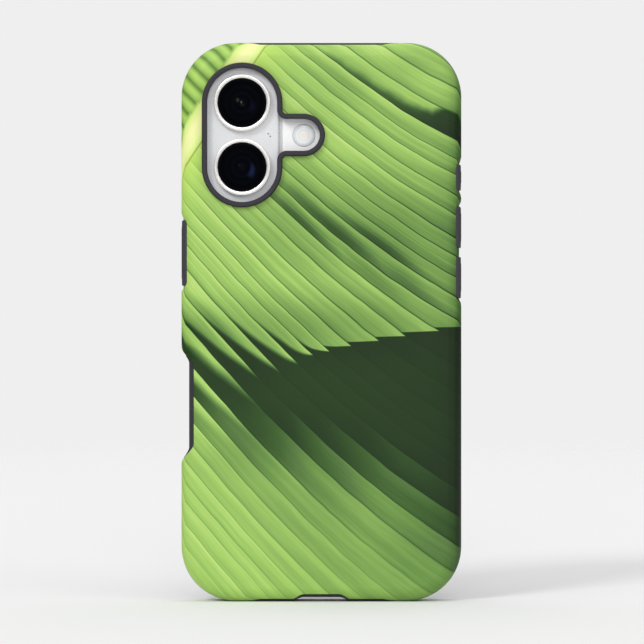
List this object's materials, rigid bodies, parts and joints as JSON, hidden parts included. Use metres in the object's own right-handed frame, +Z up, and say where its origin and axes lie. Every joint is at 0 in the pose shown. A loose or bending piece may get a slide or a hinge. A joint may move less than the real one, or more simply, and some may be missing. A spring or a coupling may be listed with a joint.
{
  "type": "phone case on a phone",
  "caption": "Two-layer phone case with a banana-leaf picture on its hard back, fitted on a slim two-lens phone whose side buttons press in.",
  "frame": {"origin": "centre of the bottom edge the cased phone stands on, half way through its depth", "axes": "+Z up the phone, -Y out of the printed back, +Y out of the screen, +X to the right when the printed back is looked at"},
  "size_m": [0.0764, 0.0128, 0.1525],
  "materials": {
    "printed_shell": "satin polycarbonate with a printed picture",
    "liner_rubber": "soft matte",
    "pad_rubber": "satin",
    "anodised_aluminium": "bead-blasted and anodised",
    "bright_aluminium": "polished",
    "back_glass_white": "frosted, opaque white behind",
    "display_glass_black": "polished, black behind",
    "lens_glass": "coated, black behind",
    "flash_diffuser": "clear with a faint pattern",
    "black_plastic": "moulded",
    "steel": "plain",
    "battery_foil": "laminated foil",
    "circuit_board": "solder mask",
    "copper_coil": "lacquered copper"
  },
  "bodies": {
    "cased_phone": {"outer_shell": "printed_shell", "inner_liner": "liner_rubber", "phone_frame": "anodised_aluminium", "back_glass": "back_glass_white", "display_glass": "display_glass_black", "display_panel": "black_plastic", "flash_lens": "flash_diffuser", "flash_led": "flash_diffuser", "rear_microphone": "steel", "charging_coil": "copper_coil", "magnet_ring": "steel", "battery": "battery_foil", "logic_board": "circuit_board", "processor_shield": "steel", "radio_shield": "steel", "front_camera_module": "black_plastic", "ear_speaker": "black_plastic", "haptic_motor": "steel", "bottom_speaker": "black_plastic", "charging_socket": "steel", "socket_tongue": "black_plastic", "left_foot_screw": "steel", "right_foot_screw": "steel", "upper_lens_ring": "bright_aluminium", "upper_lens_glass": "lens_glass", "upper_camera_module": "black_plastic", "lower_lens_ring": "bright_aluminium", "lower_lens_glass": "lens_glass", "lower_camera_module": "black_plastic", "side_button_switch": "steel", "action_button_switch": "steel", "volume_up_switch": "steel", "volume_down_switch": "steel", "camera_control_switch": "steel"},
    "side_button": {"side_button_pad": "pad_rubber", "side_button_key": "anodised_aluminium"},
    "action_button": {"action_button_pad": "pad_rubber", "action_button_key": "anodised_aluminium"},
    "volume_up_button": {"volume_up_pad": "pad_rubber", "volume_up_key": "anodised_aluminium"},
    "volume_down_button": {"volume_down_pad": "pad_rubber", "volume_down_key": "anodised_aluminium"},
    "camera_control": {"camera_control_key": "anodised_aluminium"}
  },
  "joints": [
    {"name": "side_button_press", "type": "slide", "parent": "cased_phone", "child": "side_button", "axis": [1, 0, 0], "range_m": [0, 0.0003], "stiffness_N_per_m": 4000},
    {"name": "action_button_press", "type": "slide", "parent": "cased_phone", "child": "action_button", "axis": [-1, 0, 0], "range_m": [0, 0.0003], "stiffness_N_per_m": 4000},
    {"name": "volume_up_button_press", "type": "slide", "parent": "cased_phone", "child": "volume_up_button", "axis": [-1, 0, 0], "range_m": [0, 0.0003], "stiffness_N_per_m": 4000},
    {"name": "volume_down_button_press", "type": "slide", "parent": "cased_phone", "child": "volume_down_button", "axis": [-1, 0, 0], "range_m": [0, 0.0003], "stiffness_N_per_m": 4000},
    {"name": "camera_control_press", "type": "slide", "parent": "cased_phone", "child": "camera_control", "axis": [1, 0, 0], "range_m": [0, 0.0003], "stiffness_N_per_m": 4000}
  ]
}
